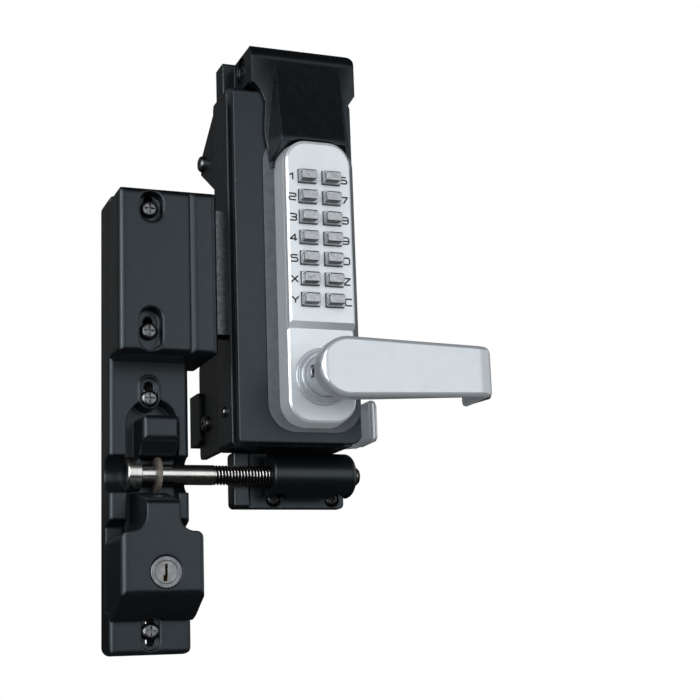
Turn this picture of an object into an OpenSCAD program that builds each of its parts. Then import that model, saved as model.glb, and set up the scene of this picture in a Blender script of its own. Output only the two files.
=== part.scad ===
// Surface-mounted keypad gate lock, closed, in millimetres.
// X runs along the gate face from post to hinge side, Y goes into the gate, Z is up.
// The origin lies on the lever spindle's axis, in the plane where both halves meet gate and post.

/* [Gate and post] */
// Thickness of the gate frame between the front and rear halves
gate_gap = 50.8; // [40:0.2:60]
// Distance of the post base's centre line to the left of the spindle
post_offset = 94.8; // [92:0.2:100]
// Running clearance between parts that slide or turn against each other
run_gap = 0.3; // [0.25:0.05:0.4]

/* [Post base] */
// Width of the post base
base_w = 48; // [46:0.5:52]
// Depth of the post base
base_t = 22; // [21:0.5:24]
// Height of the post base above the spindle's axis
base_up = 115.2; // [114:0.2:125]
// Height of the post base below the spindle's axis
base_down = 157; // [155:0.5:165]
// Corner radius of the post base
base_corner = 5; // [2:0.5:7]
// Rounding of the front edges of the post base
base_edge = 3; // [1:0.5:4]
// Width of the arched recess behind the hook
recess_w = 31; // [29:0.5:33]
// Depth of material left behind the recess
recess_floor = 10; // [9:0.5:12]
// Height of the top of the arched recess, below the spindle's axis
recess_top = 9; // [7:0.5:11]
// Width of the raised boss round a post screw slot
slot_boss_w = 12.4; // [11.8:0.2:14]
// Width of a screw slot in the base and strike
slot_w = 5.4; // [5.3:0.1:6]
// Thread diameter of the post and strike screws
post_screw_d = 5; // [4:0.5:5]
// How far the post screws reach into the post
post_reach = 24; // [15:1:40]

/* [Hook and locating pin] */
// Height of the pin's axis below the spindle's axis
pin_drop = 53.4; // [52:0.2:55]
// Distance of the pin's axis in front of the mounting plane
pin_out = 19; // [18:0.2:20]
// Diameter of the pin's shank
pin_d = 12; // [10:0.5:13]
// Diameter of the pin's head
pin_head_d = 20.6; // [18:0.2:21]
// Length of the pin's head
pin_head_l = 8.7; // [6:0.1:10]
// Length of the pin from the back of its head to its end
pin_l = 137.3; // [130:0.5:142]
// Length of the thread at the pin's end
pin_thread_l = 90; // [70:1:95]
// Thickness of the plastic washer
washer_t = 2.5; // [2:0.5:5]
// Width of the hook lug
hook_w = 22; // [18:0.5:24]
// Height of the hook lug's front face
hook_h = 15; // [12:0.2:16]
// Distance of the hook lug's front face in front of the mounting plane
hook_out = 34; // [30:0.5:38]
// Rounding of the hook lug's edges
hook_edge = 3.5; // [1:0.5:4]

/* [Strike] */
// Width of the strike box
strike_w = 42.2; // [41:0.2:43]
// Height of the strike's lower end above the spindle's axis
strike_low = 13; // [11:0.5:15]
// Height of the strike box and keeper
strike_h = 99.3; // [98:0.5:101]
// Distance of the strike's front face in front of the mounting plane
strike_out = 50; // [48:0.5:54]
// Width of the keeper section
keeper_w = 17.5; // [16.5:0.5:18]
// Thickness of the keeper's front wall
keeper_wall = 18.8; // [17:0.2:19]
// Rounding of the strike's front edges
strike_edge = 3.8; // [2:0.2:4.2]
// Width of a counterbored slot in the strike box
cbore_w = 13.8; // [13:0.2:15]
// Depth of a counterbored slot below the front face
cbore_t = 8; // [6:0.5:10]

/* [Key block] */
// Distance of the key block's face in front of the mounting plane
key_out = 54; // [52:0.5:56]
// Height of the key block's wide part
key_body_h = 36; // [34:0.5:38]
// Height of the shoulder of the key block below the spindle's axis
key_shoulder = 89.3; // [88:0.2:90]
// Rounding of the key block's front edges
key_edge = 4; // [2:0.5:5]
// Radius of the groove that lets a screwdriver past the key block
driver_r = 9; // [7:0.5:12]
// Width of the key block's neck
neck_w = 18.8; // [17:0.2:20]
// Diameter of the key cylinder
cylinder_d = 17.8; // [17:0.2:19]
// Diameter of the turning plug
plug_d = 12.6; // [12:0.2:13]
// Height of the key cylinder's axis below the spindle's axis
key_drop = 112.1; // [111:0.2:113]
// Radius of the crank on the plug's tail
crank_r = 10; // [9:0.5:10]
// Diameter of the deadlock plunger
plunger_d = 8; // [7:0.5:8.5]

/* [Gate case] */
// Distance of the case's left side from the spindle
case_left = 47.2; // [46:0.2:48]
// Distance of the case's right side from the spindle
case_right = 29.3; // [28.5:0.2:31]
// Height of the case above the spindle's axis
case_up = 188; // [185:0.5:192]
// Height of the case below the spindle's axis
case_down = 37.3; // [36:0.2:38]
// Depth of the rear case in front of the mounting plane
case_out = 32; // [31:0.5:34]
// Depth of the set-back neck between the rear case and the cover
case_neck = 11; // [9:0.5:13]
// Thickness of the front cover
cover_t = 4; // [3:0.5:6]
// Wall thickness of the case
case_wall = 3.5; // [2.5:0.5:4]
// Thickness of the mounting plate
plate_t = 3; // [2:0.5:3.5]

/* [Keypad] */
// Width of the keypad case where it meets the gasket
pad_w = 44.4; // [44:0.2:47]
// Draft of the keypad case's sides from the gasket to the face
pad_draft = 1.6; // [0.8:0.1:2]
// Height of the keypad case above the spindle's axis
pad_up = 147.5; // [146:0.5:150]
// Height of the keypad case below the spindle's axis
pad_down = 28.4; // [27:0.2:29]
// Depth of the keypad case under the lever
pad_low_t = 14; // [12:0.5:14.5]
// Depth of the keypad case under the buttons
pad_high_t = 18; // [17:0.5:20]
// Distance between two button rows
row_pitch = 12.7; // [12:0.1:13]
// Distance between the two button columns
column_pitch = 15.2; // [14.5:0.1:16]
// Height of the top row of buttons above the spindle's axis
top_row = 121.8; // [119:0.2:123]
// Width of a button's cap
button_w = 9.3; // [8:0.1:10]
// Height of a button's cap
button_h = 6.2; // [5:0.1:8]
// How far a button stands out of the face
button_out = 6; // [4:0.5:7]
// Travel of a button
button_travel = 2; // [1:0.5:2.5]

/* [Levers] */
// Length of a lever from its round end to its tip
lever_l = 110; // [100:1:125]
// Height of a lever at its round end
lever_h = 35; // [32:0.5:36]
// Height of a lever at its tip
lever_tip_h = 29; // [26:0.5:32]
// Distance of the front lever's face in front of the mounting plane
lever_out = 105.5; // [103:0.5:110]
// Thickness of a lever at its round end
lever_t = 14; // [12:0.5:16]
// Thickness of a lever's returned end
lever_tip_t = 6.5; // [5:0.5:8]
// Distance from a lever's face to the end of its returned tip
lever_return = 39; // [34:0.5:40]
// Diameter of a lever's neck
lever_neck_d = 25; // [22:0.5:26]
// Diameter of the collar round a lever's neck
collar_d = 34.6; // [33:0.2:36]
// Side of the square spindle
spindle_w = 8; // [7:0.5:8]
// Angle through which the levers turn
lever_turn = 60; // [45:1:60]

/* [Latch] */
// Height of the latch bolt
bolt_h = 77.5; // [70:0.5:78]
// Height of the latch bolt's lower end above the spindle's axis
bolt_low = 30; // [29:0.5:31]
// Thickness of the latch bolt
bolt_t = 14; // [12:0.5:14]
// Distance of the latch bolt's face in front of the mounting plane
bolt_out = 30.5; // [29:0.5:31]
// Radius from the spindle's axis to the drive pin
drive_r = 12; // [11:0.5:12]
// Diameter of the drive pin
drive_d = 5; // [4:0.5:5]

/* [Rear half] */
// Thickness of the rear backplate
rear_base_t = 9; // [6:0.5:12]
// Distance of the rear lever's face behind the backplate's front
rear_lever_out = 68; // [64:0.5:72]
// Diameter of the through-bolts
through_d = 5; // [4:0.5:6]

/* [Hidden] */
$fn = 64;
soft_fn = 32;
top_slope = 1.7;
shank_share = 0.9;
slip = 0.05;
skin = 1;

KEYS = ["1", "2", "3", "4", "5", "x", "y", "6", "7", "8", "9", "0", "z", "c"];
ROWS = 7;

// Places on the post side
post_x = -post_offset;
base_l = post_x - base_w / 2;
base_r = post_x + base_w / 2;
base_z1 = base_up;
base_z0 = -base_down;
pin_z = -pin_drop;
pin_y = -pin_out;
channel_r = pin_head_d / 2 + 0.45;
recess_x = post_x + 2;
recess_l = recess_x - recess_w / 2;
recess_r = recess_x + recess_w / 2;
recess_z1 = -recess_top;
seat_y = -12;
seat_z1 = pin_z - channel_r - 19.3;
seat_z0 = -132;
foot_z1 = -140;
hook_x = post_x + 4.6;
hook_z0 = pin_z + 18.3;
mid_screw_z = -8.8;
mid_slot_front = -base_t - 1.2;
low_screw_z = -143.8;
low_slot_z0 = low_screw_z - 5.6;
low_slot_z1 = low_screw_z + 4.6;
head_sink = 2.5;

// Places on the strike
strike_z0 = strike_low;
strike_z1 = strike_low + strike_h;
strike_r = base_l + strike_w;
keeper_r = strike_r + keeper_w;
strike_top_screw = [base_l + 19.6, strike_z1 - 11.4];
strike_low_screw = [base_l + 18.8, strike_z0 + 14];
pocket_l = strike_r + 4;
pocket_front = -strike_out + keeper_wall;
pocket_back = -14;
bolt_z0 = bolt_low;
bolt_z1 = bolt_low + bolt_h;
pocket_z0 = bolt_z0 - 2.5;
pocket_z1 = bolt_z1 + 1.5;

// Places on the key block
key_x = post_x + 1.5;
key_z = -key_drop;
key_z1 = -key_shoulder;
key_z0 = key_z1 - key_body_h;
neck_x = post_x + 0.2;
plunger_y = -34;
crank_half = 45;
plunger_rise = 2 * crank_r * sin(crank_half);
plunger_top = pin_z - 15.1;
cylinder_back = -30;
crank_t = 3;
crank_gap = 0.4;
crank_front = cylinder_back + 1.5;
crank_pin_d = 4;
leg_front = crank_front + crank_t + crank_gap;
leg_t = 3;
works_back = -15;

// Places on the gate case
case_l = -case_left;
case_r = case_right;
case_z0 = -case_down;
case_z1 = case_up;
cover_back = -case_out - case_neck;
cover_front = cover_back - cover_t;
cover_z1 = case_up - 7;
gasket_front = cover_front - skin;
cavity_l = case_l + case_wall;
cavity_r = case_r - case_wall;
cavity_front = -bolt_out - 0.7;
cavity_z0 = case_z0 + case_wall;
cavity_z1 = case_z1 - case_wall;
flange_x = case_l + 0.7;

// Places on the keypad and levers
low_face = gasket_front - pad_low_t;
high_face = gasket_front - pad_high_t;
pad_wall = 3;
chamber_w = 2 * column_pitch + 1.6;
spindle_r = spindle_w / sqrt(2);
drive_shaft_d = 11;
shaft_hole_d = drive_shaft_d + 1.7;
lip_t = 1.2;
chamber_front = high_face + pad_wall + lip_t + button_travel + 0.4;
chamber_back = gasket_front;
stem_d = 5;
stem_end = chamber_front + 5;
well_end = stem_end + button_travel + 2.2;
neck_r = lever_neck_d / 2;
lever_left = 16.8;
lever_back = -lever_out + lever_t;
collar_t = 5;
lever_mid = -1.5;

// Places on the latch
bolt_y0 = -bolt_out;
bolt_y1 = bolt_y0 + bolt_t;
bolt_tip = pocket_l + 2.9;
bolt_throw = 2 * drive_r * sin(lever_turn / 2);
tail_front = bolt_y1 - 5.5;
tail_back = bolt_y1 - 0.7;
drive_x = -drive_r * sin(lever_turn / 2);
tail_r = drive_x + drive_d / 2 + 4.5;
hub_front = bolt_y1 + 0.8;
hub_t = 6;
hub_back = hub_front + hub_t;

// Places on the rear half
rear_y = gate_gap;
rear_base_y = rear_y + rear_base_t;
rear_low_t = 14;
rear_high_t = 10;
rear_face_y = rear_y + rear_lever_out;
through_top_z = pad_up - 11.5;
through_low_z = -21.5;

function key_column(i) = i < ROWS ? -column_pitch / 2 : column_pitch / 2;
function key_row(i) = top_row - (i % ROWS) * row_pitch;

// A flat outline in X and Z, given depth from y = back towards the front
module along_y(back, front) {
    translate([0, back, 0]) rotate([90, 0, 0]) linear_extrude(back - front) children();
}

// A side profile in Y and Z, given width from x = left to right
module along_x(left, right) {
    translate([left, 0, 0]) rotate([90, 0, 90]) linear_extrude(right - left) children();
}

// A plan outline in X and Y, given height from z = low to high
module along_z(low, high) {
    translate([0, 0, low]) linear_extrude(high - low) children();
}

// A rectangle from corner to corner
module area(x0, x1, y0, y1) {
    translate([x0, y0]) square([x1 - x0, y1 - y0]);
}

// What a rounded corner takes away from a square one
module corner_waste(x, y, r, toward_x, toward_y) {
    translate([x, y]) mirror([toward_x < 0 ? 1 : 0, 0]) mirror([0, toward_y < 0 ? 1 : 0])
        difference() {
            translate([-skin, -skin]) square(r + skin);
            translate([r, r]) circle(r);
        }
}

// A rectangle with its own radius at each corner
module panel(x0, x1, y0, y1, low_l, low_r, high_r, high_l) {
    difference() {
        area(x0, x1, y0, y1);
        if (low_l > 0) corner_waste(x0, y0, low_l, 1, 1);
        if (low_r > 0) corner_waste(x1, y0, low_r, -1, 1);
        if (high_r > 0) corner_waste(x1, y1, high_r, -1, -1);
        if (high_l > 0) corner_waste(x0, y1, high_l, 1, -1);
    }
}

module round_panel(x0, x1, y0, y1, r) {
    panel(x0, x1, y0, y1, r, r, r, r);
}

// An upright slot with round ends between two heights
module slot(x, low, high, w) {
    area(x - w / 2, x + w / 2, low, high);
    translate([x, low]) circle(w / 2);
    translate([x, high]) circle(w / 2);
}

// A block with rounded front edges and a rounded outline; a side with no radius stays square
module soft_block(x0, x1, back, front, z0, z1, corner_l, corner_r, edge_l, edge_r) {
    edge = max(edge_l, edge_r);
    intersection() {
        along_y(back, front) panel(x0, x1, z0, z1, corner_l, corner_r, corner_r, corner_l);
        along_x(x0, x1) panel(front, back, z0, z1, edge, 0, 0, edge);
        along_z(z0, z1) panel(x0, x1, front, back, edge_l, edge_r, 0, 0);
    }
}

// A rod along Y from one depth to another
module rod_y(x, z, from, to, d) {
    translate([x, from, z]) rotate([-90, 0, 0]) cylinder(d = d, h = to - from);
}

// A rod along X
module rod_x(y, z, from, to, d) {
    translate([from, y, z]) rotate([0, 90, 0]) cylinder(d = d, h = to - from);
}

// A pan-head screw along +Z from the underside of its head, with a rolled thread on a thinner shank
module pan_screw(head_d, head_h, thread_d, length, thread_l) {
    arm = head_d * 0.28;
    difference() {
        union() {
            cylinder(d = thread_d * shank_share, h = length);
            translate([0, 0, length - thread_l]) cylinder(d = thread_d, h = thread_l);
            rotate_extrude() difference() {
                area(0, head_d / 2, -head_h, 0);
                corner_waste(head_d / 2, -head_h, head_h * 0.7, -1, 1);
            }
        }
        for (turn = [0, 90]) rotate([0, 0, turn])
            translate([-arm, -0.6, -head_h - skin]) cube([2 * arm, 1.2, skin + head_h * 0.55]);
    }
}

// A pan-head screw along Y whose point lies at y = end
module screw_into_y(x, y, z, head_d, head_h, thread_d, end, thread_l) {
    translate([x, y, z]) rotate([-90, 0, 0]) pan_screw(head_d, head_h, thread_d, end - y, thread_l);
}

// Post side

module post_base() {
    color([0.13, 0.14, 0.15]) difference() {
        union() {
            difference() {
                soft_block(base_l, base_r, 0, -base_t, base_z0, base_z1,
                           base_corner, base_corner, base_edge, base_edge);
                arched_recess();
                key_block_seat();
            }
            along_y(-1, mid_slot_front) slot(post_x, mid_screw_z, mid_screw_z + 7.4, slot_boss_w);
            hook_lug();
        }
        rod_x(pin_y, pin_z, base_l - skin, base_r + skin, 2 * channel_r);
        translate([base_l - skin, -hook_out - skin, pin_z - channel_r])
            cube([base_w + 2 * skin, hook_out + skin - pin_out, 2 * channel_r]);
        screw_slot(mid_screw_z, mid_screw_z + 7.4, mid_slot_front);
        screw_slot(low_slot_z0, low_slot_z1, -base_t);
        for (at = [strike_top_screw, strike_low_screw])
            rod_y(at[0], at[1], -base_t - skin, -7, post_screw_d + 2 * slip);
        for (at = key_block_holes) {
            rod_y(at[0], at[1], seat_y - skin, skin, 5.3);
            rod_y(at[0], at[1], -5.4, skin, 9.6);
        }
    }
}

// Recess round the hook, arched at the top, which runs down beside the key block's neck
module arched_recess() {
    r = recess_w / 2 - slip;
    along_y(-recess_floor, -base_t - skin)
        panel(recess_l, recess_r, seat_z0 + 20, recess_z1, 0, 0, r, r);
}

// Lowered seat of the key block, with a sloped end at the side ribs
module key_block_seat() {
    along_x(base_l - skin, base_r + skin)
        polygon([[seat_y, seat_z1], [-base_t - skin, seat_z1 + 4.1], [-base_t - skin, seat_z0],
                 [seat_y, seat_z0]]);
}

// Slot with a shallow counterbore for a pan head
module screw_slot(low, high, front) {
    along_y(skin, front - skin) slot(post_x, low, high, slot_w);
    along_y(front + head_sink, front - skin) slot(post_x, low, high, slot_boss_w - 1.8);
}

// Hook lug that the pin swings in under, ramped below, with its front edges and upper corners rounded
module hook_lug() {
    lug_l = hook_x - hook_w / 2;
    lug_r = hook_x + hook_w / 2;
    lug_top = hook_z0 + hook_h;
    root = -recess_floor + 1;
    channel_top = pin_z + channel_r - 1;
    intersection() {
        along_x(lug_l, lug_r) difference() {
            polygon([[root, lug_top], [root, channel_top], [-base_t, channel_top],
                     [-hook_out + hook_edge, hook_z0], [-hook_out, hook_z0], [-hook_out, lug_top]]);
            corner_waste(-hook_out, hook_z0, hook_edge, 1, 1);
            corner_waste(-hook_out, lug_top, hook_edge, 1, -1);
        }
        along_y(root, -hook_out) panel(lug_l, lug_r, channel_top, lug_top, 0, 0, hook_edge, hook_edge);
        along_z(channel_top, lug_top) panel(lug_l, lug_r, -hook_out, root, hook_edge, hook_edge, 0, 0);
    }
}

module post_screws() {
    color([0.35, 0.35, 0.36]) {
        screw_into_y(post_x, mid_slot_front + head_sink, mid_screw_z, 10.4, 3.6,
                     post_screw_d, post_reach, post_reach - 1);
        screw_into_y(post_x, head_sink - base_t, low_screw_z, 10.4, 3.6,
                     post_screw_d, post_reach, post_reach - 1);
    }
}

module strike_box() {
    color([0.12, 0.12, 0.13]) difference() {
        soft_block(base_l, strike_r, -base_t, -strike_out, strike_z0, strike_z1,
                   strike_edge, 0, strike_edge, 0);
        for (at = [strike_top_screw, strike_low_screw])
            along_y(-base_t + skin, -strike_out - skin) slot(at[0], at[1], at[1] + 5.8, slot_w);
        along_y(-strike_out + cbore_t, -strike_out - skin)
            slot(strike_top_screw[0], strike_top_screw[1] - 2.2, strike_z1 - 2 - cbore_w / 2, cbore_w);
        along_y(-strike_out + cbore_t, -strike_out - skin)
            slot(strike_low_screw[0], strike_low_screw[1] - 5.4, strike_low_screw[1] + 6.2, cbore_w);
        for (z = keeper_bolt_z)
            rod_x(keeper_bolt_y, z, strike_r - 14, strike_r + skin, 5);
    }
}

module strike_screws() {
    color([0.35, 0.35, 0.36]) for (at = [strike_top_screw, strike_low_screw])
        screw_into_y(at[0], -strike_out + cbore_t, at[1], 10.4, 3.6, post_screw_d, -8, base_t - 9);
}

keeper_bolt_z = [strike_z0 + 9, strike_z1 - 18];
keeper_bolt_y = -strike_out + 9;

// Right-hand section: front wall, pocket open towards the gate, and a back leg beside the base
module strike_keeper() {
    step_w = 4;
    color([0.11, 0.11, 0.12]) difference() {
        intersection() {
            along_y(0, -strike_out)
                panel(strike_r, keeper_r, strike_z0, strike_z1, 0, strike_edge, strike_edge, 0);
            along_x(strike_r, keeper_r) panel(-strike_out, 0, strike_z0, strike_z1, strike_edge, 0, 0, strike_edge);
            along_z(strike_z0, strike_z1) difference() {
                panel(strike_r, keeper_r, -strike_out, 0, 0, strike_edge + 1, 1.5, 0);
                polygon([[strike_r - skin, -strike_out - skin], [strike_r + step_w, -strike_out - skin],
                         [strike_r + step_w, -strike_out], [strike_r, -strike_out + 1.4],
                         [strike_r - skin, -strike_out + 1.4]]);
                area(strike_r - skin, base_r + slip, -base_t, skin);
            }
        }
        translate([pocket_l, pocket_front, pocket_z0])
            cube([keeper_w, pocket_back - pocket_front, pocket_z1 - pocket_z0]);
        for (z = keeper_bolt_z) {
            rod_x(keeper_bolt_y, z, strike_r - skin, keeper_r + skin, 5.3);
            rod_x(keeper_bolt_y, z, keeper_r - 5.5, keeper_r + skin, 9);
        }
    }
}

module keeper_bolts() {
    color([0.25, 0.25, 0.26]) for (z = keeper_bolt_z) difference() {
        union() {
            rod_x(keeper_bolt_y, z, strike_r - 12, keeper_r - 5.5, 4.9);
            rod_x(keeper_bolt_y, z, keeper_r - 5.5, keeper_r - 0.8, 8.5);
        }
        translate([keeper_r - 3.5, keeper_bolt_y, z]) rotate([0, 90, 0]) cylinder(d = 4.6, h = 4, $fn = 6);
    }
}

// Key block

key_block_holes = [[base_l + 6.5, -96], [base_r - 6, -96], [base_l + 6.5, -126.5], [base_r - 6, -126.5]];

module key_block() {
    color([0.14, 0.15, 0.16]) difference() {
        intersection() {
            along_y(-recess_floor, -key_out) key_block_outline();
            along_x(base_l, base_r) key_block_side();
            along_z(key_z0 - 20, -base_t) panel(base_l, base_r, -key_out, skin, key_edge, key_edge, 0, 0);
        }
        rod_y(post_x + 0.5, foot_z1 - 4.6, -key_out - skin, seat_y + skin, 2 * driver_r);
        rod_y(key_x, key_z, -key_out - skin, crank_front, cylinder_d + 2 * slip);
        plunger_bore();
        works_cavity();
        for (at = key_block_holes)
            rod_y(at[0], at[1], seat_y - 14, skin, 4.8);
    }
}

// Shield outline: wide lower part, neck on top, concave fillets between them
module key_block_outline() {
    fillet = 9;
    round_panel(base_l, base_r, foot_z1, key_z1, key_edge + 1);
    area(neck_x - neck_w / 2, neck_x + neck_w / 2, key_z1 - skin, pin_z - channel_r);
    for (side = [-1, 1]) translate([neck_x + side * neck_w / 2, key_z1]) mirror([side < 0 ? 1 : 0, 0])
        difference() {
            translate([-skin, -skin]) square(fillet + skin);
            translate([fillet, fillet]) circle(fillet);
        }
}

// Side profile: ramp under the pin, upright face, sloped underside, back on the lowered seat
module key_block_side() {
    polygon([[-recess_floor, seat_z1 + 8], [-recess_floor, pin_z - channel_r - 0.3],
             [-base_t, pin_z - channel_r - 0.3], [-key_out + 2, pin_z - channel_r - 7.6],
             [-key_out, pin_z - channel_r - 9.6], [-key_out, key_z0 + 3], [-key_out + 0.9, key_z0 + 0.9],
             [-key_out + 3, key_z0],
             [-base_t - 6, foot_z1 + 2], [-base_t, foot_z1 + 2], [-base_t, seat_z0 + 0.2],
             [seat_y, seat_z0 + 0.2], [seat_y, seat_z1], [-recess_floor, seat_z1]]);
}

module plunger_bore() {
    translate([key_x, plunger_y, foot_top]) cylinder(d = plunger_d + 2 * run_gap, h = key_drop);
}

// Room for the plunger's foot and for the crank on the plug's tail
module works_cavity() {
    wide_l = key_x - crank_r - 4;
    narrow = plunger_d / 2 + 0.6;
    crank_room = cylinder_back + 0.3;
    top = foot_top + plunger_rise + 0.6;
    translate([wide_l, crank_room, key_z - crank_r - 3.5])
        cube([key_x + 7.5 - wide_l, works_back - crank_room, 2 * crank_r + 6]);
    translate([key_x - narrow, plunger_y - narrow, foot_top - foot_t - 0.4])
        cube([2 * narrow, works_back - plunger_y + narrow, top - foot_top + foot_t + 0.4]);
}

module key_block_screws() {
    color([0.3, 0.3, 0.31]) for (at = key_block_holes) difference() {
        union() {
            rod_y(at[0], at[1], seat_y - 12, -5.4, 4.7);
            rod_y(at[0], at[1], -5.4, -0.6, 8.5);
        }
        translate([at[0], -3.4, at[1]]) rotate([-90, 0, 0]) cylinder(d = 4.6, h = 3, $fn = 6);
    }
}

module key_cylinder() {
    color([0.75, 0.75, 0.72]) difference() {
        rod_y(key_x, key_z, -key_out - 0.4, cylinder_back, cylinder_d);
        rod_y(key_x, key_z, -key_out - skin - 0.4, cylinder_back + skin, plug_d + 2 * slip);
    }
}

// Plug with a stepped keyway, and a tail that carries the crank
module key_plug() {
    color([0.8, 0.68, 0.42]) difference() {
        union() {
            rod_y(key_x, key_z, -key_out - 0.2, cylinder_back + 0.6, plug_d);
            rod_y(key_x, key_z, cylinder_back + 0.5, crank_front + crank_t, 5);
        }
        translate([key_x - 0.7, -key_out - skin, key_z - 2]) cube([1.4, 20, 6.4]);
        translate([key_x - 1.7, -key_out - skin, key_z - 5]) cube([2.2, 20, 3.2]);
    }
}

// Crank, shown at the unlocked end of its 90 degree turn
module key_crank() {
    color([0.6, 0.6, 0.6]) translate([key_x, crank_front, key_z]) rotate([0, -crank_half, 0])
        rotate([-90, 0, 0]) difference() {
            union() {
                cylinder(d = 11, h = crank_t);
                translate([-crank_r, -3.5, 0]) cube([crank_r, 7, crank_t]);
                translate([-crank_r, 0, 0]) cylinder(d = 7, h = crank_t);
                translate([-crank_r, 0, 0]) cylinder(d = crank_pin_d, h = crank_t + crank_gap + leg_t);
            }
            translate([0, 0, -skin]) cylinder(d = 5, h = crank_t + 2 * skin);
        }
}

foot_t = 4;
foot_top = key_z + cylinder_d / 2 + 0.8 + foot_t;
slot_half = (crank_pin_d + 2 * (run_gap + 0.15)) / 2;

// Plunger rod with a foot that reaches back behind the crank, where a level slot rides on its pin
module deadlock_plunger() {
    pin_low_z = key_z - crank_r * sin(crank_half);
    near_x = key_x - crank_r * cos(crank_half);
    far_x = key_x - crank_r;
    half = plunger_d / 2;
    color([0.7, 0.7, 0.72]) {
        translate([key_x, plunger_y, foot_top - foot_t])
            cylinder(d = plunger_d, h = plunger_top - foot_top + foot_t);
        translate([key_x - half, plunger_y, foot_top - foot_t])
            cube([2 * half, leg_front + leg_t - plunger_y, foot_t]);
        along_y(leg_front + leg_t, leg_front) difference() {
            union() {
                area(key_x - half, key_x + half, pin_low_z - 4, foot_top);
                area(far_x - slot_half - 1, key_x, pin_low_z - slot_half - 1.2, pin_low_z + slot_half + 1.2);
            }
            area(far_x, near_x, pin_low_z - slot_half, pin_low_z + slot_half);
            translate([near_x, pin_low_z]) circle(slot_half);
            translate([far_x, pin_low_z]) circle(slot_half);
        }
    }
}

// Locating pin and its barrel

pin_x0 = base_l + 9.8;
pin_x1 = pin_x0 + pin_l + pin_head_l;

module locating_pin() {
    color([0.75, 0.75, 0.76]) translate([pin_x0, pin_y, pin_z]) rotate([0, 90, 0]) rotate_extrude()
        polygon([[0, 0], [pin_head_d / 2 - 0.8, 0], [pin_head_d / 2, 0.8], [pin_head_d / 2, pin_head_l - 0.5],
                 [pin_head_d / 2 - 0.5, pin_head_l], [pin_d / 2, pin_head_l],
                 [pin_d / 2, pin_head_l + pin_l - pin_thread_l - 0.8],
                 [pin_d / 2 - 0.5, pin_head_l + pin_l - pin_thread_l],
                 [pin_d / 2 - 0.15, pin_head_l + pin_l - pin_thread_l + 1],
                 [pin_d / 2 - 0.15, pin_head_l + pin_l - 1.5], [pin_d / 2 - 1.6, pin_head_l + pin_l],
                 [0, pin_head_l + pin_l]]);
}

module pin_washer() {
    color([0.85, 0.8, 0.66]) translate([pin_x0 + pin_head_l + 9.4, pin_y, pin_z]) rotate([0, 90, 0])
        rotate_extrude() panel(pin_d / 2, pin_head_d / 2 - 0.1, 0, washer_t, 0, 0.5, 0.5, 0);
}

barrel_r = 13.75;
barrel_l = -21.4;
barrel_end = 32.4;
barrel_plate_l = -41;
barrel_plate_z0 = -72;
barrel_plate_t = 6;
barrel_rib_w = 11;
barrel_holes = [[-14, -66], [24, -66]];

// Barrel with a threaded bore on a flat plate, with a rib at the plate's left end
module barrel_block() {
    color([0.12, 0.13, 0.14]) difference() {
        union() {
            translate([barrel_l, pin_y, pin_z]) rotate([0, 90, 0]) rotate_extrude() difference() {
                area(0, barrel_r, 0, barrel_end - barrel_l);
                corner_waste(barrel_r, barrel_end - barrel_l, 5, -1, -1);
                corner_waste(barrel_r, 0, 2, -1, 1);
            }
            along_x(barrel_l + 3, barrel_end - 5)
                area(pin_y, -1, pin_z - barrel_r + 2, pin_z + barrel_r - 2);
            along_y(0, -barrel_plate_t)
                round_panel(barrel_plate_l, barrel_end - 0.6, barrel_plate_z0, case_z0 - 0.3, 3);
            soft_block(barrel_plate_l, barrel_plate_l + barrel_rib_w, 0, -12, barrel_plate_z0,
                       case_z0 - 0.3, 3, 3, 2, 2);
        }
        rod_x(pin_y, pin_z, barrel_l - skin, barrel_end + skin, pin_d + 0.1);
        for (at = barrel_holes) {
            rod_y(at[0], at[1], -barrel_plate_t - skin, skin, 4.4);
            rod_y(at[0], at[1], -barrel_plate_t - 20, -barrel_plate_t + 2, 9);
        }
    }
}

module barrel_screws() {
    color([0.3, 0.3, 0.31]) for (at = barrel_holes)
        screw_into_y(at[0], -barrel_plate_t + 2, at[1], 8, 2.8, 4.2, 20, 19);
}

// Gate case

module gate_case() {
    color([0.12, 0.125, 0.135]) difference() {
        union() {
            along_y(-plate_t, -case_out) panel(case_l, case_r, case_z0, case_z1, 3, 3, 12, 3);
            along_y(-case_out + skin, cover_back)
                panel(case_l + 4.2, case_r - 1, case_z0 + 1, cover_z1 - 2, 3, 8, 8, 3);
        }
        along_y(skin, cavity_front)
            panel(cavity_l, cavity_r, cavity_z0, cavity_z1, 2, 2, 8.5, 2);
        translate([case_l - skin, bolt_y0 - run_gap, bolt_z0 - run_gap])
            cube([case_wall + 2 * skin, bolt_t + 2 * run_gap, bolt_h + 2 * run_gap]);
        rod_y(0, 0, cover_back - skin, cavity_front + skin, shaft_hole_d);
        for (z = [through_top_z, through_low_z])
            rod_y(0, z, cover_back - skin, cavity_front + skin, through_d + 0.6);
        rod_x(case_screw_y, case_screw_z, case_l - skin, case_l + case_wall + skin, 3.2);
    }
}

case_screw_y = -17;
case_screw_z = -14.7;

module case_screw() {
    color([0.4, 0.4, 0.41]) translate([case_l, case_screw_y, case_screw_z]) rotate([0, 90, 0])
        pan_screw(6.5, 2, 3.1, 7, 6);
}

module case_cover() {
    color([0.13, 0.135, 0.145]) difference() {
        along_y(cover_back, cover_front)
            panel(case_l, case_r, case_z0, cover_z1, 2, 6, 6, 2);
        rod_y(0, 0, cover_front - skin, cover_back + skin, shaft_hole_d);
        for (z = [through_top_z, through_low_z])
            rod_y(0, z, cover_front - skin, cover_back + skin, through_d + 0.6);
    }
}

ear_top_z = case_z1 - 5.4;
ear_mid_z = case_z1 - 58;
low_ear_z1 = 33;
flange_holes = [[24, case_z1 - 32], [24, -15.6]];

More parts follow.
